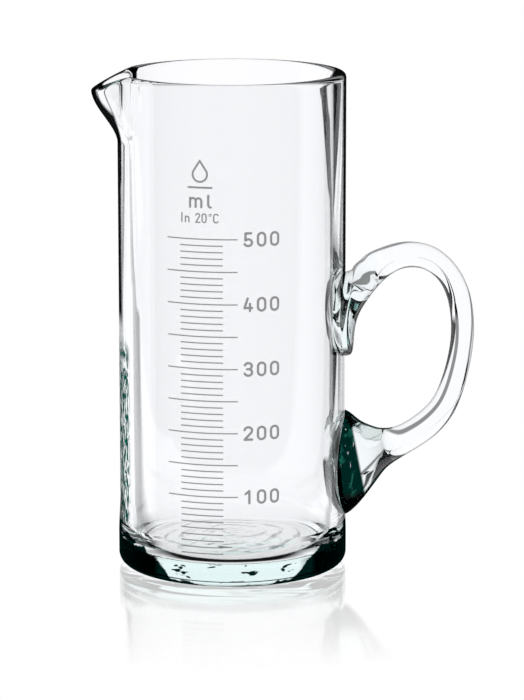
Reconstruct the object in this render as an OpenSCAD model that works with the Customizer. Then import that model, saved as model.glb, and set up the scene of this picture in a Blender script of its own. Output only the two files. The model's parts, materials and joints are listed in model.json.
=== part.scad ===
// Glass measuring cylinder with a pouring spout, a fused handle and a fired enamel scale.
// Millimetres, +Z up. The origin is the centre of the flat base, on the table.
// The spout points to -X, the handle to +X, and the printed scale faces -Y.

/* [Vessel] */
// Outside diameter of the tube
tube_d = 82; // [76:1:90]
// Thickness of the tube's wall
wall = 3.9; // [3:0.1:4.5]
// Height of the rim above the table
vessel_h = 180; // [172:1:220]
// Thickness of the glass floor
floor_t = 10.2; // [8:0.1:12]
// Radius of the inside corner between the floor and the wall
floor_fillet = 4.5; // [2:0.1:6]
// Radius of the outside bottom edge
foot_r = 4; // [1:0.1:5]

/* [Spout] */
// Half of the angle that the spout takes out of the rim
spout_half_angle = 26; // [18:1:34]
// How far the tip of the lip stands out from the wall
spout_reach = 9.4; // [5:0.1:12]
// How far the tip of the lip sinks below the rim
spout_drop = 5.5; // [2:0.1:8]
// Height of the spout, from its root in the wall to the rim
spout_h = 25; // [18:1:30]

/* [Handle] */
// Half thickness of the rod at the outermost point of the bow
rod_half = 4.2; // [3.6:0.1:5]
// Width of the rod, as a multiple of its thickness
rod_flatness = 1.2; // [1:0.05:1.4]
// How far the upper seal's pad stands out from the wall
pad_t = 3.4; // [2.5:0.1:4]

/* [Scale] */
// Thickness of the fired enamel
ink_t = 0.08; // [0.05:0.01:0.2]
// Height of a graduation line
line_w = 0.42; // [0.3:0.02:0.6]
// Largest graduated volume in hundreds of millilitres
hundreds = 5; // [3:1:5]
// Height of a numeral
digit_h = 5.3; // [4:0.1:6]
// Width of a numeral
digit_w = 3.5; // [2.6:0.1:4]
// Stroke of the numerals
digit_stroke = 0.85; // [0.5:0.05:1]

/* [Hidden] */

tube_r = tube_d / 2;
bore_r = tube_r - wall;
rim_r = wall / 2;
// The base disc carries the inside corner, and the tube stands on it
seam_z = floor_t + floor_fillet;

// One hundred millilitres fill this height of the bore
hundred_h = 100000 / (PI * pow(bore_r, 2));
// The rounded corner takes up some volume, so the scale starts a little above the floor
fillet_volume = (1 - PI / 4) * pow(floor_fillet, 2) * 2 * PI * (bore_r - 0.223 * floor_fillet);
zero_z = floor_t + fillet_volume / (PI * pow(bore_r, 2));

glass_colour = [0.86, 0.93, 0.91, 0.45];
ink_colour = [0.55, 0.56, 0.57];

round_fn = 96;
loft_sides = 28;

// ---------------------------------------------------------------- helpers

function level(ml) = zero_z + ml / 100 * hundred_h;

// Catmull-Rom point between keys i and i + 1 of a list of equal vectors
function spline(keys, i, u) =
    let (
        a = keys[max(i - 1, 0)],
        b = keys[i],
        c = keys[i + 1],
        d = keys[min(i + 2, len(keys) - 1)]
    )
    0.5 * (2 * b + (c - a) * u + (2 * a - 5 * b + 4 * c - d) * u * u + (3 * b - a - 3 * c + d) * u * u * u);

// Closed solid through a list of rings that all have the same number of points
module loft(rings) {
    n = len(rings);
    m = len(rings[0]);
    sides = [
        for (i = [0 : n - 2])
            for (j = [0 : m - 1])
                let (a = i * m + j, b = i * m + (j + 1) % m)
                    each [[a, b, b + m], [a, b + m, a + m]]
    ];
    first = [for (j = [m - 1 : -1 : 0]) j];
    last = [for (j = [0 : m - 1]) (n - 1) * m + j];
    polyhedron(points = [for (ring = rings) each ring], faces = concat([first, last], sides));
}

// ---------------------------------------------------------------- vessel

module base_profile() {
    difference() {
        union() {
            square([tube_r - foot_r, seam_z]);
            translate([0, foot_r]) square([tube_r, seam_z - foot_r]);
            translate([tube_r - foot_r, foot_r]) circle(foot_r);
        }
        translate([-1, floor_t]) square([bore_r - floor_fillet + 1, seam_z]);
        translate([-1, seam_z]) square([bore_r + 1, seam_z]);
        translate([bore_r - floor_fillet, seam_z]) circle(floor_fillet);
    }
}

module base_disc() {
    color(glass_colour) rotate_extrude($fn = round_fn) base_profile();
}

module spout_sector() {
    rotate([0, 0, 180 - spout_half_angle])
        rotate_extrude(angle = 2 * spout_half_angle, $fn = round_fn)
            translate([bore_r - 1, vessel_h - spout_h])
                square([wall + 2, spout_h + 1]);
}

module body_tube() {
    color(glass_colour) difference() {
        rotate_extrude($fn = round_fn) {
            translate([bore_r, seam_z]) square([wall, vessel_h - seam_z - rim_r]);
            translate([bore_r + rim_r, vessel_h - rim_r]) circle(rim_r);
        }
        spout_sector();
    }
}

// Radius and height along the wall's section, from the crown of the rim down the inside, and
// up the outside back to the rim
spout_rows = 9;
function rim_point(a) = [bore_r + rim_r + rim_r * cos(a), vessel_h - rim_r + rim_r * sin(a)];
function wall_section() =
    let (root = vessel_h - spout_h, span = spout_h - rim_r)
    concat(
        [for (a = [90 : 30 : 150]) rim_point(a)],
        [for (i = [spout_rows : -1 : 0]) [bore_r, root + span * i / spout_rows]],
        [for (i = [0 : spout_rows]) [tube_r, root + span * i / spout_rows]],
        [for (a = [30 : 30 : 60]) rim_point(a)]
    );

// The lip swells out and sinks, most in the middle of the spout and at the rim
function spout_point(p, turn) =
    let (
        across = pow(cos(90 * turn / spout_half_angle), 2),
        up = (p.y - (vessel_h - spout_h)) / spout_h,
        radius = p.x + spout_reach * across * pow(sin(90 * up), 1.7)
    )
    [-radius * cos(turn), radius * sin(turn), p.y - spout_drop * across * up];

module pouring_spout() {
    steps = 26;
    rings = [
        for (i = [0 : steps])
            let (turn = spout_half_angle * (2 * i / steps - 1))
                [for (p = wall_section()) spout_point(p, turn)]
    ];
    color(glass_colour) loft(rings);
}

// ---------------------------------------------------------------- handle

// Sections of the handle from the lower gob, round the bow, to the root of the upper seal:
// distance out from the axis, height, direction of travel in degrees, and half thickness
gob_keys = [
    [tube_r - 3.5, 36.6, 0, 20.2, 15.9],
    [tube_r + 1, 36.6, 0, 19.2, 15.0],
    [tube_r + 5.7, 36.9, 0, 15.1, 13.0],
    [tube_r + 10.8, 39.6, 3, 10.3, 10.2],
    [tube_r + 14.4, 41.9, 8, 7.3, 8.0],
    [tube_r + 19.2, 44.0, 18, 5.7, 6.4]
];
function rod(out, up, heading, half) = [tube_r + out, up, heading, half, half * rod_flatness];
bow_keys = [
    rod(24.2, 46.6, 27, rod_half + 1.0),
    rod(30.2, 50.9, 37, rod_half + 0.9),
    rod(35.0, 56.2, 53, rod_half + 0.6),
    rod(38.2, 62.6, 67, rod_half + 0.3),
    rod(40.8, 71.5, 77, rod_half + 0.1),
    rod(42.4, 81.0, 85, rod_half),
    rod(42.5, 90.0, 95, rod_half),
    rod(40.8, 99.3, 110, rod_half),
    rod(36.8, 107.0, 129, rod_half),
    rod(30.5, 112.2, 156, rod_half + 0.3),
    rod(23.0, 113.6, 182, rod_half + 0.5),
    rod(16.3, 112.1, 196, rod_half + 0.8),
    rod(10.8, 108.9, 203, rod_half + 1.6)
];
root_keys = [
    [tube_r + 7.7, 105.4, 187, 7.4, 8.8],
    [tube_r + 5.4, 102.3, 184, 8.6, 10.4]
];
handle_keys = concat(gob_keys, bow_keys, root_keys);
bow_first = len(gob_keys) - 1;
bow_last = bow_first + len(bow_keys);

// Rings of the upper seal's pad, which hugs the wall: height above the wall, lowest and
// highest point, and half width
pad_rings = [
    [pad_t, 90.4, 109.6, 11.2],
    [pad_t * 0.97, 79.2, 108.8, 12.8],
    [pad_t * 0.78, 77.3, 108.1, 13.6],
    [pad_t * 0.4, 76.4, 107.4, 14.0],
    [-0.6, 76.3, 107.0, 14.1]
];

function section_ring(k) =
    [
        for (j = [0 : loft_sides - 1])
            let (t = 360 * j / loft_sides, inward = k[3] * cos(t))
                [k[0] - inward * sin(k[2]), -k[4] * sin(t), k[1] + inward * cos(k[2])]
    ];

function handle_rings(first, last, steps) =
    [
        for (i = [first : last - 1])
            for (s = [0 : steps - (i == last - 1 ? 0 : 1)])
                section_ring(spline(handle_keys, i, s / steps))
    ];

function pad_ring(k) =
    [
        for (j = [0 : loft_sides - 1])
            let (
                t = 360 * j / loft_sides,
                turn = -k[3] * sin(t) / tube_r * 180 / PI,
                middle = (k[1] + k[2]) / 2,
                reach = (k[2] - k[1]) / 2
            )
            [(tube_r + k[0]) * cos(turn), (tube_r + k[0]) * sin(turn), middle - reach * cos(t)]
    ];

module handle_lower_gob() {
    color(glass_colour) difference() {
        loft(handle_rings(0, bow_first, 3));
        cylinder(r = tube_r, h = vessel_h, $fn = round_fn);
    }
}

module handle_bow() {
    color(glass_colour) loft(handle_rings(bow_first, bow_last, 3));
}

module handle_upper_seal() {
    last = len(handle_keys) - 1;
    color(glass_colour) difference() {
        loft(concat(handle_rings(bow_last, last, 3), [for (k = pad_rings) pad_ring(k)]));
        cylinder(r = tube_r, h = vessel_h, $fn = round_fn);
    }
}

// ---------------------------------------------------------------- enamel

// Angles are measured round the tube from the front, positive towards the handle
main_line_start = -33.4;
main_line_end = 2.7;
fine_line_start = -26.2;
fine_line_end = -4.5;
legend_turn = -15.8;
numeral_turn = 7.9;
numeral_pitch = 6.7;

module line_at(z, start, end) {
    translate([0, 0, z - line_w / 2])
        rotate([0, 0, start - 90])
            rotate_extrude(angle = end - start, $fn = round_fn)
                translate([tube_r, 0]) square([ink_t, line_w]);
}

module main_graduations() {
    color(ink_colour) for (ml = [100 : 50 : hundreds * 100])
        line_at(level(ml), main_line_start, main_line_end);
}

module fine_graduations() {
    color(ink_colour) for (ml = [10 : 10 : hundreds * 100 - 10])
        if (ml < 100 || ml % 50 != 0)
            line_at(level(ml), fine_line_start, fine_line_end);
}

// Sets where the strokes inside it are printed: their origin's turn and height on the wall
module printed(turn, z) {
    $turn = turn;
    $base = z;
    children();
}

// Lays one flat stroke on the wall as a film of enamel
module on_wall() {
    intersection() {
        rotate([0, 0, $turn])
            translate([0, 1 - tube_r, $base])
                rotate([90, 0, 0])
                    linear_extrude(height = 2) children();
        translate([0, 0, $base - 10]) rotate_extrude($fn = round_fn)
            translate([tube_r, 0]) square([ink_t, 30]);
    }
}

// Straight stroke with round ends
module stroke(p, q, w) {
    d = q - p;
    on_wall() translate(p) rotate(atan2(d.y, d.x)) {
        translate([0, -w / 2]) square([norm(d), w]);
        circle(d = w, $fn = 24);
        translate([norm(d), 0]) circle(d = w, $fn = 24);
    }
}

// Round end of a curved stroke about c, at angle a
module end_dot(c, r, a, w) {
    on_wall() translate(c + r * [cos(a), sin(a)]) circle(d = w, $fn = 24);
}

// Curved stroke about c, from angle a0 up to angle a1, made of short arcs end to end
module bend(c, r, a0, a1, w) {
    far = 4 * r;
    pieces = ceil((a1 - a0) / 100);
    step = (a1 - a0) / pieces;
    for (i = [0 : pieces - 1])
        let (a = a0 + i * step, m = a + step / 2, b = a + step)
            on_wall() translate(c) intersection() {
                difference() {
                    circle(r + w / 2, $fn = 48);
                    circle(r - w / 2, $fn = 48);
                }
                polygon([
                    [0, 0],
                    [far * cos(a), far * sin(a)],
                    [far * cos(m), far * sin(m)],
                    [far * cos(b), far * sin(b)]
                ]);
            }
}

// A glyph is drawn in a box h high and w wide, with its baseline at 0 and its middle at x = 0
module zero(w, h, s) {
    x = (w - s) / 2;
    y = h - s / 2 - x;
    stroke([-x, s / 2 + x], [-x, y], s);
    stroke([x, s / 2 + x], [x, y], s);
    bend([0, y], x, 0, 180, s);
    bend([0, s / 2 + x], x, 180, 360, s);
}

module one(w, h, s) {
    stroke([0.1 * w, s / 2], [0.1 * w, h - s / 2], s);
    stroke([-0.28 * w, h - s / 2 - 0.3 * w], [0.1 * w, h - s / 2], s);
}

module two(w, h, s) {
    flat = 0.1 * w;
    r = (w - s - flat) / 2;
    y = h - s / 2 - r;
    bend([flat / 2, y], r, -38, 90, s);
    stroke([-flat / 2, y + r], [flat / 2, y + r], s);
    bend([-flat / 2, y], r, 90, 170, s);
    end_dot([-flat / 2, y], r, 170, s);
    stroke([flat / 2 + r * cos(38), y - r * sin(38)], [-flat / 2 - r, s / 2], s);
    stroke([-flat / 2 - r, s / 2], [flat / 2 + r, s / 2], s);
}

// Bowl of a 3 or a 5, open to the left: its middle height, its radius, and the angles at
// which its upper and lower ends stop
module bowl(middle, r, flat, upper_end, lower_end, s) {
    bend([flat / 2, middle], r, -90, 90, s);
    for (y = [middle - r, middle + r])
        stroke([-flat / 2, y], [flat / 2, y], s);
    bend([-flat / 2, middle], r, 90, upper_end, s);
    bend([-flat / 2, middle], r, lower_end, 270, s);
    for (a = [upper_end, lower_end])
        end_dot([-flat / 2, middle], r, a, s);
}

module three(w, h, s) {
    flat = 0.1 * w;
    low = (w - s - flat) / 2;
    high = (h - s) / 2 - low;
    bowl(s / 2 + low, low, flat, 100, 200, s);
    bowl(h - s / 2 - high, high, flat, 160, 260, s);
}

module four(w, h, s) {
    x = (w - s) / 2;
    foot = 0.28 * h;
    stroke([-0.05 * w, h - s / 2], [-x, foot], s);
    stroke([-x, foot], [x, foot], s);
    stroke([0.18 * w, s / 2], [0.18 * w, 0.55 * h], s);
}

module five(w, h, s) {
    flat = 0.1 * w;
    r = (w - s - flat) / 2;
    shoulder = 135;
    top = [-0.8 * r, h - s / 2];
    bowl(s / 2 + r, r, flat, shoulder, 205, s);
    stroke([-flat / 2 + r * cos(shoulder), s / 2 + r + r * sin(shoulder)], top, s);
    stroke(top, [0.9 * r, h - s / 2], s);
}

module digit(value) {
    if (value == 0) zero(digit_w, digit_h, digit_stroke);
    if (value == 1) one(digit_w, digit_h, digit_stroke);
    if (value == 2) two(digit_w, digit_h, digit_stroke);
    if (value == 3) three(digit_w, digit_h, digit_stroke);
    if (value == 4) four(digit_w, digit_h, digit_stroke);
    if (value == 5) five(digit_w, digit_h, digit_stroke);
}

module numeral(hundred) {
    places = [hundred, 0, 0];
    color(ink_colour) for (i = [0 : 2])
        printed(numeral_turn + i * numeral_pitch, level(hundred * 100) - digit_h / 2)
            digit(places[i]);
}

module numeral_500() { numeral(5); }
module numeral_400() { numeral(4); }
module numeral_300() { numeral(3); }
module numeral_200() { numeral(2); }
module numeral_100() { numeral(1); }

unit_z = level(hundreds * 100) + 10.9;
temperature_z = level(hundreds * 100) + 5.7;
mark_z = level(hundreds * 100) + 17.8;

// Arches of the letters m and n: stems standing on the baseline, joined at the top
module arches(count, span, x_height, s) {
    for (i = [0 : count])
        stroke([i * span, s / 2], [i * span, x_height - s / 2 - (i == 0 ? 0 : span / 2)], s);
    for (i = [0 : count - 1])
        bend([(i + 0.5) * span, x_height - s / 2 - span / 2], span / 2, 0, 180, s);
}

// The letter l, with a short foot to the right
module letter_l(h, s) {
    r = 0.9;
    stroke([0, s / 2 + r], [0, h - s / 2], s);
    bend([r, s / 2 + r], r, 180, 270, s);
    end_dot([r, s / 2 + r], r, 270, s);
}

module unit_label() {
    color(ink_colour) {
        printed(legend_turn - 5.0, unit_z) arches(2, 2.05, 3.9, 0.8);
        printed(legend_turn + 4.2, unit_z) letter_l(4.9, 0.8);
    }
}

// The reference temperature of volumetric glass, 20 degrees Celsius, after the word In
module temperature_label() {
    h = 3.5;
    s = 0.5;
    color(ink_colour) {
        printed(legend_turn - 9.4, temperature_z) stroke([0, s / 2], [0, h - s / 2], s);
        printed(legend_turn - 7.5, temperature_z) arches(1, 1.3, 2.4, s);
        printed(legend_turn - 1.1, temperature_z) two(1.9, h, s);
        printed(legend_turn + 2.1, temperature_z) zero(1.9, h, s);
        printed(legend_turn + 5.1, temperature_z) bend([0, h - 0.6], 0.4, 0, 359, 0.3);
        printed(legend_turn + 8.0, temperature_z) letter_c(2.1, h, s);
    }
}

module letter_c(w, h, s) {
    x = (w - s) / 2;
    y = h - s / 2 - x;
    stroke([-x, s / 2 + x], [-x, y], s);
    bend([0, y], x, 30, 180, s);
    bend([0, s / 2 + x], x, 180, 330, s);
    end_dot([0, y], x, 30, s);
    end_dot([0, s / 2 + x], x, 330, s);
}

// Plain pictogram of a drop above a level line
module drop_mark() {
    r = 2.6;
    tip = 7.4;
    lean = asin(r / (tip - r));
    color(ink_colour) printed(legend_turn, mark_z) {
        bend([0, 2.4 + r], r, 180 - lean, 360 + lean, 0.7);
        stroke([r * cos(lean), 2.4 + r + r * sin(lean)], [0, 2.4 + tip], 0.7);
        stroke([-r * cos(lean), 2.4 + r + r * sin(lean)], [0, 2.4 + tip], 0.7);
        stroke([-4.2, 0.4], [4.2, 0.4], 0.7);
    }
}

body_tube();
pouring_spout();
base_disc();
handle_bow();
handle_upper_seal();
handle_lower_gob();
main_graduations();
fine_graduations();
numeral_500();
numeral_400();
numeral_300();
numeral_200();
numeral_100();
unit_label();
temperature_label();
drop_mark();
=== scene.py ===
"""Glass measuring cylinder with a spout, a fused handle and an enamel scale, in bright-field studio light."""

import json
import math

import bpy
import numpy as np
from mathutils.bvhtree import BVHTree
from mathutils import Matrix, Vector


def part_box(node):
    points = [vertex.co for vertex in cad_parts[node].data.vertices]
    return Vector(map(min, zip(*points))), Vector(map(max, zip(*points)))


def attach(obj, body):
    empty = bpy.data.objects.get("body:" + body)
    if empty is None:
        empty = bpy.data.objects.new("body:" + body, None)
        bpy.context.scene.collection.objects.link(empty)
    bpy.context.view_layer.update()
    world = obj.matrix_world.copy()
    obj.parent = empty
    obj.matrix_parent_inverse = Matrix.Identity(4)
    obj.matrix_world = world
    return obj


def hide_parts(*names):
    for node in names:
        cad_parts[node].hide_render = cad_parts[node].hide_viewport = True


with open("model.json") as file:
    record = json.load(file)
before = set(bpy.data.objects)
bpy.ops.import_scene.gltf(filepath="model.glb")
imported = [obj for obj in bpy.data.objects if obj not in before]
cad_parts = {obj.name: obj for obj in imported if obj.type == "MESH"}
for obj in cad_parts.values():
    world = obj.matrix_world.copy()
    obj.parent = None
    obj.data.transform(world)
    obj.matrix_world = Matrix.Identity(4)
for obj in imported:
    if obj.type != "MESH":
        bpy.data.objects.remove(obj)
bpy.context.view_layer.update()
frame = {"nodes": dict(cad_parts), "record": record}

MM = 0.001
ROOT = "root"

# ---------------------------------------------------------------- sizes, in millimetres

mounts = {m["name"]: m for m in frame["record"]["mounts"]}
tube_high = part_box("body_tube")[1]
tube_r = tube_high.y / MM
bore_r = mounts["inside_bore"]["dims"]["r_mm"]
wall = tube_r - bore_r
rim_r = wall / 2
vessel_h = tube_high.z / MM
foot_r = 4.0

# The floor is a low dome with an elliptical corner, and the base bulges out a little
corner_top = 17.0
corner_wide = 5.0
corner_high = 9.5
edge_z = corner_top - corner_high
middle_z = 9.5
foot_bulge = 0.6
bulge_end = 26.0
bulge_run = 15.0
ripple_high = 0.15
ripple_pitch = 7.5
bore_shift = 0.25
seam_z = corner_top

spout_half_angle = 26.0
spout_reach = 9.4
spout_drop = 5.5
spout_h = 25.0


# ---------------------------------------------------------------- mesh helpers

class Patch:
    """A grid of points with normals: rows by columns, the columns closing on themselves if ring."""

    def __init__(self, points, normals=None, join=-1.0, ring=True, flip=False):
        self.points = np.asarray(points, float)
        self.ring = ring
        self.flip = flip
        self.normals = grid_normals(self.points, ring) if normals is None else normals
        if flip:
            self.normals = -self.normals
        self.join = np.broadcast_to(join, self.points.shape[:2])


def grid_normals(points, ring):
    """Normals of a grid from the differences between neighbours."""
    along = np.gradient(points, axis=0)
    if ring:
        across = np.roll(points, -1, 1) - np.roll(points, 1, 1)
    else:
        across = np.gradient(points, axis=1)
    n = np.cross(across, along)
    length = np.linalg.norm(n, axis=2, keepdims=True)
    flat = length[..., 0] < 1e-12
    n = n / np.maximum(length, 1e-12)
    if flat.any():
        rows = np.where(flat.all(axis=1))[0]
        for i in rows:
            n[i] = n[1 if i == 0 else i - 1].mean(axis=0)
            n[i] /= np.linalg.norm(n[i, 0])
    return n


def build(name, patches, material):
    """One closed mesh object from patches in millimetres, welded, with the patches' own normals."""
    normals, joins, faces = [], [], []
    keys = {}
    verts = []

    def vertex(p):
        key = tuple(np.round(p, 4))
        if key not in keys:
            keys[key] = len(verts)
            verts.append(p * MM)
        return keys[key]

    for patch in patches:
        rows, cols = patch.points.shape[:2]
        ids = [[vertex(patch.points[i, j]) for j in range(cols)] for i in range(rows)]
        for i in range(rows - 1):
            for j in range(cols if patch.ring else cols - 1):
                k = (j + 1) % cols
                quad = [(i, j), (i, k), (i + 1, k), (i + 1, j)]
                if patch.flip:
                    quad.reverse()
                face, where = [], []
                for a, b in quad:
                    v = ids[a][b]
                    if v not in face:
                        face.append(v)
                        where.append((a, b))
                if len(face) > 2:
                    faces.append(face)
                    normals.extend(patch.normals[a, b] for a, b in where)
                    joins.extend(patch.join[a, b] for a, b in where)
    mesh = bpy.data.meshes.new(name)
    mesh.from_pydata(verts, [], faces)
    mesh.polygons.foreach_set("use_smooth", [True] * len(faces))
    attribute = mesh.attributes.new("join", "FLOAT", "CORNER")
    attribute.data.foreach_set("value", np.asarray(joins, np.float32))
    mesh.normals_split_custom_set([tuple(n) for n in normals])
    mesh.materials.append(material)
    obj = bpy.data.objects.new(name, mesh)
    bpy.context.scene.collection.objects.link(obj)
    return obj


def arc(centre, radius, start, end, steps):
    """Points of an arc in the radius-height plane, from start to end degrees."""
    a = np.radians(np.linspace(start, end, steps + 1))
    return np.stack([centre[0] + radius * np.cos(a), centre[1] + radius * np.sin(a)], 1)


def line(a, b, steps):
    return np.linspace(a, b, steps + 1)


def chain(*pieces):
    """Joins lines and arcs end to end, without repeating the shared points."""
    out = [pieces[0]]
    out.extend(p[1:] for p in pieces[1:])
    return np.concatenate(out)


# ---------------------------------------------------------------- vessel

def columns():
    """Angles round the tube: fine at the spout and at the handle, coarser between them."""
    handle = np.arange(-28, 28, 1.0)
    left = np.arange(28, 150, 2.0)
    spout = np.arange(150, 210, 1.0)
    right = np.arange(210, 332, 2.0)
    return np.radians(np.concatenate([handle, left, spout, right]))


def revolve(profile, warp=None):
    """Grid of points from a profile of radius and height turned about the axis."""
    angle = columns()[None, :]
    r = profile[:, 0:1] + 0 * angle
    z = profile[:, 1:2] + 0 * angle
    a = angle + 0 * r
    if warp:
        r, a, z = warp(r, a, z)
    return np.stack([r * np.cos(a), r * np.sin(a), z], 2)


def pull_spout(r, a, z):
    """Pulls the rim outward and down round the -X direction. The bore also runs a little off
    centre, so the wall is thicker under the handle."""
    inner = np.clip((tube_r - r) / wall, 0, 1)
    r = r - inner * bore_shift * ((1 + np.cos(a)) / 2) ** 2
    turn = np.degrees(np.arctan2(np.sin(a), -np.cos(a)))
    fall = np.cos(np.radians(90 * turn / spout_half_angle)) ** 2
    across = np.where(np.abs(turn) < spout_half_angle, fall, 0)
    up = np.clip((z - (vessel_h - spout_h)) / spout_h, 0, 1)
    swell = np.sin(np.radians(90 * up)) ** 1.7
    return r + spout_reach * across * swell, a, z - spout_drop * across * up


def bulge_at(z):
    """Outside radius near the foot, blending into the tube above it."""
    u = np.clip((bulge_end - z) / bulge_run, 0, 1)
    return tube_r + foot_bulge * u * u * (3 - 2 * u)


def bulge(profile):
    out = profile.copy()
    out[:, 0] = bulge_at(out[:, 1])
    return out


def tube_patches(join_of):
    top = vessel_h - rim_r
    root = vessel_h - spout_h
    outside = chain(
        bulge(line((tube_r, seam_z), (tube_r, 60), 56)),
        line((tube_r, 60), (tube_r, 73), 4),
        line((tube_r, 73), (tube_r, 112), 48),
        line((tube_r, 112), (tube_r, root), 10),
        line((tube_r, root), (tube_r, top), 30),
    )
    rim = arc((bore_r + rim_r, top), rim_r, 0, 180, 16)
    inside = chain(
        line((bore_r, top), (bore_r, root), 30),
        line((bore_r, root), (bore_r, seam_z), 30),
    )
    skin = revolve(chain(outside, rim, inside), pull_spout)
    seam = revolve(np.array([[bore_r, seam_z], [bulge_at(seam_z), seam_z]]), pull_spout)
    down = np.zeros_like(seam)
    down[..., 2] = -1
    join = np.full(skin.shape[:2], -1.0)
    rows = len(outside)
    join[:rows] = join_of(skin[:rows])
    normals = grid_normals(skin, True)
    for row in (0, -1):
        normals[row, :, 2] = 0
        normals[row] /= np.linalg.norm(normals[row], axis=1, keepdims=True)
    return [Patch(skin, normals, join), Patch(seam, down, 1.0)]


def floor_profile():
    """The corner as a quarter of an ellipse, then a low dome."""
    t = np.radians(np.linspace(0, 90, 17))
    corner = np.stack([bore_r - corner_wide * (1 - np.cos(t)), corner_top - corner_high * np.sin(t)], 1)
    r = np.linspace(bore_r - corner_wide, 0, 81)
    dome = np.stack([r, middle_z - (middle_z - edge_z) * (r / r[0]) ** 2], 1)
    return chain(corner, dome)


def ripple_floor(r, a, z):
    """Faint uneven rings in the floor, fading out at the corner."""
    fade = np.clip((bore_r - corner_wide - r) / 6, 0, 1) * np.clip(r / 4, 0, 1)
    bend = 1.3 * np.sin(a + 0.7) + 0.9 * np.sin(2 * a + 2.1) + 0.6 * np.sin(3 * a + 0.4)
    swing = 0.5 + 0.5 * np.sin(2 * a - 0.6 + r / 7)
    r = r - np.clip(r / bore_r, 0, 1) ** 3 * bore_shift * ((1 + np.cos(a)) / 2) ** 2
    return r, a, z + ripple_high * fade * swing * np.sin(2 * np.pi * r / ripple_pitch + bend)


def base_patches():
    inside = floor_profile()
    wide = tube_r + foot_bulge
    outside = chain(
        line((0, 0), (wide - foot_r, 0), 24),
        arc((wide - foot_r, foot_r), foot_r, -90, 0, 12),
        line((wide, foot_r), (wide, 11), 6),
        bulge(line((tube_r, 11), (tube_r, seam_z), 6)),
    )
    top = revolve(inside, ripple_floor)
    bottom = revolve(outside)
    seam = revolve(np.array([[bulge_at(seam_z), seam_z], [bore_r, seam_z]]), pull_spout)
    up = np.zeros_like(seam)
    up[..., 2] = 1
    top_n = grid_normals(top, True)
    top_n[0] = -revolve(np.array([[1, 0]]))[0]
    bottom_n = grid_normals(bottom, True)
    return [Patch(top, top_n), Patch(bottom, bottom_n), Patch(seam, up, 1.0)]


# ---------------------------------------------------------------- handle

# Sections from the lower gob, round the bow, to the root of the upper seal: distance out
# from the axis, height, direction of travel in degrees, half thickness, half width
gob_keys = [
    (-3.5, 36.6, 0, 20.2, 15.9),
    (1.0, 36.6, 0, 19.2, 15.0),
    (5.7, 36.9, 0, 15.1, 13.0),
    (10.8, 39.6, 3, 10.3, 10.2),
    (14.4, 41.9, 8, 7.3, 8.0),
    (19.2, 44.0, 18, 5.7, 6.4),
]
bow_keys = [
    (24.2, 46.6, 27, 5.2, 6.2),
    (30.2, 50.9, 37, 5.1, 6.1),
    (35.0, 56.2, 53, 4.8, 5.8),
    (38.2, 62.6, 67, 4.5, 5.4),
    (40.8, 71.5, 77, 4.3, 5.2),
    (42.4, 81.0, 85, 4.2, 5.0),
    (42.5, 90.0, 95, 4.2, 5.0),
    (40.8, 99.3, 110, 4.2, 5.0),
    (36.8, 107.0, 129, 4.2, 5.0),
    (30.5, 112.2, 156, 4.5, 5.4),
    (23.0, 113.6, 182, 4.7, 5.6),
    (16.3, 112.1, 196, 5.0, 6.0),
    (10.8, 108.9, 203, 5.8, 7.0),
]
root_keys = [
    (7.7, 105.4, 187, 7.4, 8.8),
    (5.4, 102.3, 184, 8.6, 10.4),
]
# Rings of the pad that hugs the wall: height above the wall, lowest and highest point, half width
pad_rings = [
    (3.1, 90.4, 109.6, 11.2),
    (3.4, 79.2, 108.8, 12.8),
    (2.7, 77.3, 108.1, 13.6),
    (1.4, 76.4, 107.4, 14.0),
    (-0.6, 76.3, 107.0, 14.1),
    (-1.2, 76.3, 107.0, 14.1),
]
SIDES = 28
KEY_STEPS = 3
FINE = 6


def spline(keys, steps):
    """Catmull-Rom points through a list of keys."""
    k = np.asarray(keys, float)
    out = []
    for i in range(len(k) - 1):
        a, b, c, d = k[max(i - 1, 0)], k[i], k[i + 1], k[min(i + 2, len(k) - 1)]
        for u in np.arange(steps) / steps:
            square = (2 * a - 5 * b + 4 * c - d) * u**2
            cube = (3 * b - a - 3 * c + d) * u**3
            out.append(0.5 * (2 * b + (c - a) * u + square + cube))
    out.append(k[-1])
    return np.array(out)


def section_ring(key):
    out, up, heading, half, width = key
    t = np.linspace(0, 2 * math.pi, SIDES, endpoint=False)
    h = math.radians(heading)
    inward = half * np.cos(t)
    return np.stack([tube_r + out - inward * math.sin(h), -width * np.sin(t), up + inward * math.cos(h)], 1)


def pad_ring(key):
    lift, low, high, width = key
    t = np.linspace(0, 2 * math.pi, SIDES, endpoint=False)
    turn = -width * np.sin(t) / tube_r
    r = tube_r + lift
    return np.stack([r * np.cos(turn), r * np.sin(turn), (low + high) / 2 - (high - low) / 2 * np.cos(t)], 1)


def smooth_tube(cage, fine):
    """Uniform cubic B-spline surface over a cage of rings, closed round the rings."""
    u = np.arange(fine) / fine
    basis = np.stack([(1 - u) ** 3, 3 * u**3 - 6 * u**2 + 4, -3 * u**3 + 3 * u**2 + 3 * u + 1, u**3], 1) / 6
    n = cage.shape[1]
    around = np.concatenate([cage[:, -1:], cage, cage[:, :2]], 1)
    wide = np.concatenate([np.einsum("fk,rkc->rfc", basis, around[:, j : j + 4]) for j in range(n)], 1)
    ends = np.concatenate([2 * wide[:1] - wide[1:2], wide, 2 * wide[-1:] - wide[-2:-1]])
    rows = [np.einsum("fk,kjc->fjc", basis, ends[i : i + 4]) for i in range(len(wide) - 1)]
    last = (ends[-3] + 4 * ends[-2] + ends[-1]) / 6
    return np.concatenate(rows + [last[None]])


def cap(ring, normal, inward=8):
    """Flat lid over a ring of points, as rings that shrink to its middle."""
    middle = ring.mean(axis=0)
    rows = [middle + (ring - middle) * s for s in np.linspace(1, 0, inward + 1)]
    points = np.array(rows)
    return points, np.broadcast_to(normal, points.shape)


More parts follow.
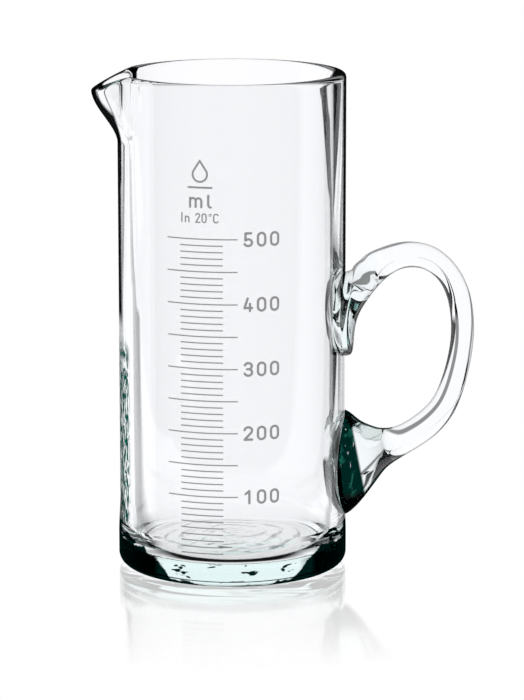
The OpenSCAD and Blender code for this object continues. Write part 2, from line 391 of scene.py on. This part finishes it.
def handle_grid():
    rods = [section_ring(k) for k in spline(gob_keys + bow_keys + root_keys, KEY_STEPS)]
    first, second = np.array(pad_rings[:2])
    between = [first + (second - first) * s for s in (0.34, 0.67)]
    pads = [pad_rings[0], *between, *pad_rings[1:]]
    cage = np.array(rods + [pad_ring(k) for k in pads])
    # The fold where the rod meets the pad is smoothed
    root = slice(len(rods) - 2 * KEY_STEPS - 4, len(rods) + 4)
    for _ in range(3):
        beside = np.roll(cage, 1, 0)[root] + np.roll(cage, -1, 0)[root]
        cage[root] = 0.5 * cage[root] + 0.25 * beside
    return smooth_tube(cage, FINE)


def handle_pieces(grid, own):
    normals = grid_normals(grid, True)
    join = tube_r - np.hypot(grid[..., 0], grid[..., 1])
    per_key = KEY_STEPS * FINE
    first = (len(gob_keys) - 1) * per_key
    last = (len(gob_keys) + len(bow_keys) - 1) * per_key
    spans = {
        "handle_lower_gob": (0, first),
        "handle_bow": (first, last),
        "handle_upper_seal": (last, len(grid) - 1),
    }
    made = {}
    for name, (a, b) in spans.items():
        skin = Patch(grid[a : b + 1], normals[a : b + 1], join[a : b + 1])
        patches = [skin]
        for row, sign in ((a, -1), (b, 1)):
            step = grid[min(row + 1, len(grid) - 1)] - grid[max(row - 1, 0)]
            n = step.mean(axis=0)
            n = sign * n / np.linalg.norm(n)
            points, flat = cap(grid[row], n)
            patches.append(Patch(points if sign > 0 else points[::-1], flat, 1.0))
        made[name] = build(name + "_glass", patches, own.get(name, glass))
    return made


def buried_depth(grid):
    """How far points lie inside the handle: positive inside, in millimetres."""
    rows, cols = grid.shape[:2]
    verts = [tuple(p) for p in grid.reshape(-1, 3)]
    quads = [
        (i * cols + j, i * cols + (j + 1) % cols, (i + 1) * cols + (j + 1) % cols, (i + 1) * cols + j)
        for i in range(rows - 1)
        for j in range(cols)
    ]
    tree = BVHTree.FromPolygons(verts, quads)

    def depth(points):
        out = np.full(points.shape[:2], -5.0)
        near = (points[..., 0] > 30) & (points[..., 2] < 115)
        for i, j in zip(*np.where(near)):
            p = points[i, j]
            hit, normal, _, distance = tree.find_nearest(tuple(p))
            if hit is None:
                continue
            side = np.dot(p - np.array(hit), np.array(normal))
            out[i, j] = distance if side < 0 else -distance
        return out

    return depth


# ---------------------------------------------------------------- materials

def node_material(name):
    m = bpy.data.materials.new(name)
    m.use_nodes = True
    tree = m.node_tree
    tree.nodes.clear()
    return m, tree


def add(tree, kind, inputs=None, **props):
    """Adds a node, sets its properties, and fills its inputs with values or links."""
    node = tree.nodes.new(kind)
    for key, value in props.items():
        setattr(node, key, value)
    for key, value in (inputs or {}).items():
        socket = node.inputs[key]
        if isinstance(value, bpy.types.NodeSocket):
            tree.links.new(value, socket)
        else:
            socket.default_value = value
    return node


def calc(tree, operation, *values):
    """One sum, product or other number from one or two numbers."""
    return add(tree, "ShaderNodeMath", dict(enumerate(values)), operation=operation).outputs[0]


def vector_calc(tree, operation, *values):
    """The same for vectors; the answer is a vector, or a number for a length or a dot product."""
    out = add(tree, "ShaderNodeVectorMath", dict(enumerate(values)), operation=operation).outputs
    return out["Value" if operation in ("LENGTH", "DOT_PRODUCT") else "Vector"]


def flatten(tree, vector):
    return vector_calc(tree, "MULTIPLY", vector, (1.0, 1.0, 0.0))


def camera_plan(tree, vector):
    """How far a vector goes to the camera's right and away from the camera, seen from above."""
    forward = add(
        tree, "ShaderNodeVectorTransform", {0: (0.0, 0.0, 1.0)},
        vector_type="VECTOR", convert_from="CAMERA", convert_to="WORLD",
    ).outputs[0]
    away = vector_calc(tree, "NORMALIZE", flatten(tree, forward))
    right = vector_calc(tree, "CROSS_PRODUCT", away, (0.0, 0.0, 1.0))
    return vector_calc(tree, "DOT_PRODUCT", vector, right), vector_calc(tree, "DOT_PRODUCT", vector, away)


def ramp(tree, value, low, high, at_low, at_high):
    """Goes from one output to the other while the value goes from low to high."""
    return add(tree, "ShaderNodeMapRange", {0: value, 1: low, 2: high, 3: at_low, 4: at_high}).outputs[0]


def times(tree, *values):
    out = values[0]
    for value in values[1:]:
        out = calc(tree, "MULTIPLY", out, value)
    return out


def largest(tree, *values):
    out = values[0]
    for value in values[1:]:
        out = calc(tree, "MAXIMUM", out, value)
    return out


def mix(tree, amount, first, second):
    return add(tree, "ShaderNodeMix", {0: amount, 6: first, 7: second}, data_type="RGBA").outputs[2]


def xyz(tree, vector):
    return add(tree, "ShaderNodeSeparateXYZ", {0: vector}).outputs


WHITE = (1, 1, 1, 1)
SWEEP = (1.08, 1.07, 1.10, 1)
SOFT_BOX = (0.12, 0.13, 0.13, 1)
TABLE_UNDER = (0.9, 0.88, 0.89, 1)
# Dark of the studio round the object, also used as painted shade in the tube's outline and low in the gob
DARK = (0.006, 0.007, 0.007, 1)
# Painted shade colour for the base's dark foot, patches, streaks and edge
FOOT_PAINTED_SHADE = (0.0, 0.012, 0.01, 1)
# Painted shade colour for the dark green streaks in the tube
GREEN_STREAK_PAINTED_SHADE = (0.0, 0.09, 0.065, 1)
# Painted shade colours for the dark zone of the gob
GOB_PAINTED_SHADE = (0.0, 0.02, 0.016, 1)
GOB_PAINTED_TEAL = (0.02, 0.16, 0.12, 1)
# Painted shade colour for the grey rings in the floor
RING_PAINTED_SHADE = (0.35, 0.34, 0.35, 1)
# Painted shade colour for the handle's grey edge
EDGE_PAINTED_SHADE = (0.05, 0.05, 0.05, 1)


def glass_material(name, paint):
    """Clear glass, faintly green in its depth. Faces buried in a neighbour are left out, so the
    pieces look fused. The paint function gives painted shade: how dark the surface looks to the camera."""
    m, tree = node_material(name)
    join = add(tree, "ShaderNodeAttribute", attribute_name="join").outputs["Fac"]
    fused = calc(tree, "GREATER_THAN", join, 0.0)
    glass = add(tree, "ShaderNodeBsdfGlass", {"Color": paint(tree), "Roughness": 0.0, "IOR": 1.5}).outputs[0]
    clear = add(tree, "ShaderNodeBsdfTransparent").outputs[0]
    surface = add(tree, "ShaderNodeMixShader", {0: fused, 1: glass, 2: clear}).outputs[0]
    depth = add(tree, "ShaderNodeVolumeAbsorption", {"Color": (0.0, 0.71, 0.6, 1), "Density": 3.0}).outputs[0]
    add(tree, "ShaderNodeOutputMaterial", {"Surface": surface, "Volume": depth})
    return m


def surface_facts(tree):
    """How squarely a surface faces the camera, whether the camera sees its front, where it is."""
    geometry = add(tree, "ShaderNodeNewGeometry").outputs
    facing = vector_calc(tree, "DOT_PRODUCT", geometry["Normal"], geometry["Incoming"])
    facing = calc(tree, "ABSOLUTE", facing)
    path = add(tree, "ShaderNodeLightPath").outputs["Is Camera Ray"]
    front = calc(tree, "SUBTRACT", 1.0, geometry["Backfacing"])
    return facing, times(tree, path, front), geometry["Position"]


def streaks(tree, position, scale, low, high):
    """Uneven patches, 0 to 1, drawn out along the axes where the scale is small."""
    where = add(tree, "ShaderNodeMapping", {0: position, 2: (0, math.radians(20), 0), 3: scale}).outputs[0]
    settings = {"Vector": where, "Scale": 1.0, "Detail": 3.0, "Distortion": 0.6}
    noise = add(tree, "ShaderNodeTexNoise", settings).outputs["Fac"]
    return ramp(tree, noise, low, high, 0, 1)


def paint_tube(tree):
    """Painted shade: a dark outline above, wider on the spout; below it is light, with painted dark green
    streaks on the left.
    """
    facing, seen, position = surface_facts(tree)
    u, _ = camera_plan(tree, position)
    x, _, z = xyz(tree, position)
    spout = times(tree, ramp(tree, x, -0.042, -0.039, 0.3, 0), ramp(tree, z, 0.14, 0.145, 0, 1))
    square = calc(tree, "SUBTRACT", facing, spout)
    upper = ramp(tree, z, 0.088, 0.094, 0.25, 1)
    # Painted shade: dark edge where the surface turns from the camera, seen by the camera only
    outline = times(tree, ramp(tree, square, 0.20, 0.28, 1, 0), upper, seen)
    left = ramp(tree, u, -0.001, 0, 1, 0)
    lower = ramp(tree, z, 0.080, 0.086, 1, 0)
    squiggles = streaks(tree, position, (900, 900, 260), 0.46, 0.50)
    # Painted shade: dark green streaks on the camera's left, seen by the camera only
    painted_streaks = times(tree, ramp(tree, facing, 0.36, 0.42, 1, 0), left, lower, squiggles, seen)
    return mix(tree, painted_streaks, mix(tree, outline, WHITE, DARK), GREEN_STREAK_PAINTED_SHADE)


def paint_base(tree):
    """Painted shade: black where the foot curves under, more so at the sides, dark patches in the band,
    dark streaks at the sides, a dark outline, and faint uneven grey rings in the floor."""
    facing, seen, position = surface_facts(tree)
    u, _ = camera_plan(tree, position)
    side = calc(tree, "ABSOLUTE", u)
    z = xyz(tree, position)[2]
    # Painted shade: black under the foot, rising higher towards the camera's left and right
    rise = ramp(tree, side, 0.008, 0.022, 0, 0.003)
    top = calc(tree, "ADD", rise, ramp(tree, side, 0.022, 0.032, 0, 0.009))
    wobble = ramp(tree, streaks(tree, position, (160, 160, 160), 0.3, 0.7), 0, 1, -0.001, 0.001)
    under = calc(tree, "ADD", calc(tree, "SUBTRACT", top, z), wobble)
    foot = ramp(tree, under, -0.0003, 0.0003, 0, 1)
    # Painted shade: dark patches in the low band of the base
    band_only = ramp(tree, z, 0.0085, 0.0095, 1, 0)
    painted_dark_patches = times(tree, streaks(tree, position, (120, 120, 420), 0.60, 0.62), band_only)
    # Painted shade: dark streaks at the sides and a dark edge where the surface turns from the camera
    sides_only = ramp(tree, side, 0.024, 0.03, 0, 1)
    painted_streaks = times(tree, streaks(tree, position, (90, 90, 500), 0.50, 0.53), sides_only)
    outline = ramp(tree, facing, 0.20, 0.28, 1, 0)
    dark = largest(tree, foot, painted_dark_patches, painted_streaks, outline)
    # Painted shade: faint grey rings on the floor, besides the ripples built into its shape
    flat = flatten(tree, position)
    middle = ramp(tree, vector_calc(tree, "LENGTH", flat), 0.026, 0.031, 1, 0)
    wave = add(
        tree, "ShaderNodeTexWave", {0: flat, "Scale": 45.0, "Distortion": 9.0, "Detail Scale": 1.0},
        wave_type="RINGS", rings_direction="Z",
    ).outputs["Fac"]
    on_floor = ramp(tree, z, 0.005, 0.006, 0, 1)
    broken = streaks(tree, position, (70, 70, 70), 0.42, 0.6)
    rings = times(tree, ramp(tree, wave, 0.75, 0.95, 0, 0.6), middle, on_floor, broken)
    return mix(tree, times(tree, dark, seen), mix(tree, rings, WHITE, RING_PAINTED_SHADE), FOOT_PAINTED_SHADE)


def paint_handle(tree):
    """Painted shade: a soft grey edge, seen by the camera only."""
    facing, seen, _ = surface_facts(tree)
    return mix(tree, times(tree, ramp(tree, facing, 0.1, 0.5, 0.75, 0), seen), WHITE, EDGE_PAINTED_SHADE)


def paint_gob(tree):
    """Painted shade: near-black green next to the wall, where the gob is thickest, and black along its edges,
    with teal patches and black low down; seen by the camera only.
    """
    facing, seen, position = surface_facts(tree)
    x, _, z = xyz(tree, position)
    slope = ramp(tree, z, 0.0246, 0.0506, 0.0488, 0.0437)
    by_wall = ramp(tree, calc(tree, "SUBTRACT", x, slope), -0.0004, 0.0004, 1, 0)
    # Painted shade: near-black patches next to the wall, where the gob is thickest
    painted_wall_shade = times(tree, by_wall, streaks(tree, position, (500, 500, 60), 0.30, 0.34))
    edge = ramp(tree, facing, 0.30, 0.42, 1, 0)
    teal = streaks(tree, position, (420, 420, 150), 0.56, 0.75)
    low = ramp(tree, z, 0.026, 0.029, 1, 0)
    # Painted shade colour: near-black green with teal patches, black low down
    gob_shade_colour = mix(tree, low, mix(tree, teal, GOB_PAINTED_SHADE, GOB_PAINTED_TEAL), DARK)
    return mix(tree, times(tree, largest(tree, painted_wall_shade, edge), seen), WHITE, gob_shade_colour)


def enamel_material():
    """Grey fired enamel, thin enough for the light behind it to come through, with a painted glow."""
    m, tree = node_material("fired_enamel")
    coord = add(tree, "ShaderNodeTexCoord").outputs["Object"]
    grain = add(tree, "ShaderNodeTexNoise", {"Vector": coord, "Scale": 2500.0, "Detail": 3.0}).outputs["Fac"]
    shade = add(tree, "ShaderNodeValToRGB", {"Fac": grain})
    shade.color_ramp.elements[0].color = (0.46, 0.46, 0.47, 1)
    shade.color_ramp.elements[1].color = (0.60, 0.60, 0.61, 1)
    bump = add(tree, "ShaderNodeBump", {"Height": grain, "Strength": 0.2, "Distance": 0.00003}).outputs[0]
    looks = {"Base Color": shade.outputs[0], "Roughness": 0.5, "Normal": bump}
    front = add(tree, "ShaderNodeBsdfPrincipled", looks).outputs[0]
    through = add(tree, "ShaderNodeBsdfTranslucent", {"Color": shade.outputs[0]}).outputs[0]
    surface = add(tree, "ShaderNodeMixShader", {0: 0.6, 1: front, 2: through}).outputs[0]
    # Painted glow: the enamel also emits light, so it looks lighter
    glow = add(tree, "ShaderNodeEmission", {"Color": shade.outputs[0], "Strength": 0.35}).outputs[0]
    surface = add(tree, "ShaderNodeAddShader", {0: surface, 1: glow}).outputs[0]
    add(tree, "ShaderNodeOutputMaterial", {"Surface": surface})
    return m


# ---------------------------------------------------------------- object

glass = glass_material("clear_glass", paint_handle)
tube_glass = glass_material("tube_glass", paint_tube)
base_glass = glass_material("base_glass", paint_base)
gob_glass = glass_material("gob_glass", paint_gob)
grid = handle_grid()
depth = buried_depth(grid)
vessel_tube = build("vessel_tube_glass", tube_patches(depth), tube_glass)
base = build("base_disc_glass", base_patches(), base_glass)
handle = handle_pieces(grid, {"handle_lower_gob": gob_glass})
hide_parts("body_tube", "pouring_spout")
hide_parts("base_disc")
for node, piece in handle.items():
    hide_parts(node)
for piece in (vessel_tube, base, *handle.values()):
    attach(piece, ROOT)

enamel = enamel_material()
for node in frame["nodes"].values():
    for s in node.material_slots:
        s.material = enamel


# ---------------------------------------------------------------- studio

def build_world():
    """White behind the object and dark round it, with two soft boxes in front. The camera itself
    sees plain white."""
    world = bpy.data.worlds.new("studio")
    world.use_nodes = True
    tree = world.node_tree
    tree.nodes.clear()
    incoming = add(tree, "ShaderNodeNewGeometry").outputs["Incoming"]
    direction = vector_calc(tree, "MULTIPLY", incoming, (-1.0, -1.0, -1.0))
    u, v = camera_plan(tree, direction)
    height = xyz(tree, direction)[2]
    azimuth = calc(tree, "DEGREES", calc(tree, "ARCTAN2", u, v))
    side = calc(tree, "ABSOLUTE", azimuth)
    back = times(
        tree, ramp(tree, azimuth, -36, -33, 0, 1), ramp(tree, azimuth, 29, 32, 1, 0),
        ramp(tree, height, 0.5, 0.7, 1, 0),
    )
    boxes = times(tree, ramp(tree, side, 128, 136, 0, 1), ramp(tree, side, 160, 167, 1, 0))
    light = mix(tree, back, DARK, SWEEP)
    light = mix(tree, boxes, light, SOFT_BOX)
    path = add(tree, "ShaderNodeLightPath").outputs["Is Camera Ray"]
    colour = mix(tree, path, light, WHITE)
    background = add(tree, "ShaderNodeBackground", {"Color": colour, "Strength": 1.0}).outputs[0]
    add(tree, "ShaderNodeOutputWorld", {"Surface": background})
    bpy.context.scene.world = world


def band(tree, value, width):
    """1 between 0 and the width, with soft edges."""
    soft = 0.008
    past = calc(tree, "SUBTRACT", value, width)
    return times(tree, ramp(tree, value, 0, soft, 0, 1), ramp(tree, past, 0, soft, 1, 0))


def table_light(tree, position, distance):
    """What the glass sees of the table: bright behind the object, with a dark flag along each side
    that is grey and narrow near the object, and dark in front, a painted shadow of the object."""
    u, v = camera_plan(tree, position)
    right = calc(tree, "SUBTRACT", u, ramp(tree, v, 0, 0.7, 0.03, 0.29))
    reach = calc(tree, "ADD", ramp(tree, v, 0, 0.45, 0.025, 0.14), ramp(tree, v, 0.45, 1.2, 0, 0.56))
    left = calc(tree, "SUBTRACT", times(tree, u, -1.0), reach)
    flag_right = band(tree, right, ramp(tree, v, 0, 0.45, 0.005, 0.11))
    flag_left = band(tree, left, ramp(tree, v, 0, 1.2, 0.005, 0.25))
    near = ramp(tree, v, 0.5, 0.58, 0.3, 0.006)
    shade = add(tree, "ShaderNodeCombineColor", {0: near, 1: near, 2: near}).outputs[0]
    past_near = times(tree, ramp(tree, right, 0.10, 0.12, 0, 1), ramp(tree, v, 0.45, 0.6, 1, 0))
    past = largest(tree, past_near, ramp(tree, right, 0.33, 0.35, 0, 1))
    light = mix(tree, flag_right, SWEEP, shade)
    light = mix(tree, flag_left, light, shade)
    light = mix(tree, past, light, DARK)
    # Painted shadow: the table in front of the object is dark
    light = mix(tree, ramp(tree, v, -0.03, -0.02, 1, 0), light, DARK)
    return mix(tree, ramp(tree, distance, 0.032, 0.034, 1, 0), light, TABLE_UNDER)


def build_floor():
    """A white table that shines back a faint, fading image of the object."""
    m, tree = node_material("pale_floor")
    position = add(tree, "ShaderNodeNewGeometry").outputs["Position"]
    distance = vector_calc(tree, "LENGTH", position)
    path = add(tree, "ShaderNodeLightPath").outputs["Is Camera Ray"]
    colour = mix(tree, path, table_light(tree, position, distance), WHITE)
    glow = add(tree, "ShaderNodeEmission", {"Color": colour}).outputs[0]
    mirror = add(tree, "ShaderNodeBsdfGlossy", {"Color": WHITE, "Roughness": 0.08}).outputs[0]
    amount = times(tree, ramp(tree, distance, 0.04, 0.14, 0.5, 0.0), path)
    surface = add(tree, "ShaderNodeMixShader", {0: amount, 1: glow, 2: mirror}).outputs[0]
    add(tree, "ShaderNodeOutputMaterial", {"Surface": surface})
    mesh = bpy.data.meshes.new("studio_floor")
    half = 6.0
    z = -0.0001
    ring = [(-half, -half, z), (half, -half, z), (half, half, z), (-half, half, z)]
    mesh.from_pydata(ring, [], [(0, 1, 2, 3)])
    mesh.materials.append(m)
    floor = bpy.data.objects.new("studio_floor", mesh)
    bpy.context.scene.collection.objects.link(floor)


def build_camera():
    data = bpy.data.cameras.new("camera")
    camera = bpy.data.objects.new("camera", data)
    bpy.context.scene.collection.objects.link(camera)
    data.sensor_width = 36.0
    data.lens = 173.8
    data.clip_start, data.clip_end = 0.05, 30.0
    camera.location = (0, -1.2023, 0.3265)
    camera.rotation_euler = (math.radians(90 - 11.66), 0, math.radians(-0.516))
    bpy.context.scene.camera = camera


build_world()
build_floor()
build_camera()

scene = bpy.context.scene
scene.view_settings.view_transform = "Standard"
scene.cycles.max_bounces = 24
scene.cycles.transmission_bounces = 24
scene.cycles.glossy_bounces = 12
scene.cycles.transparent_max_bounces = 32
scene.cycles.caustics_refractive = True
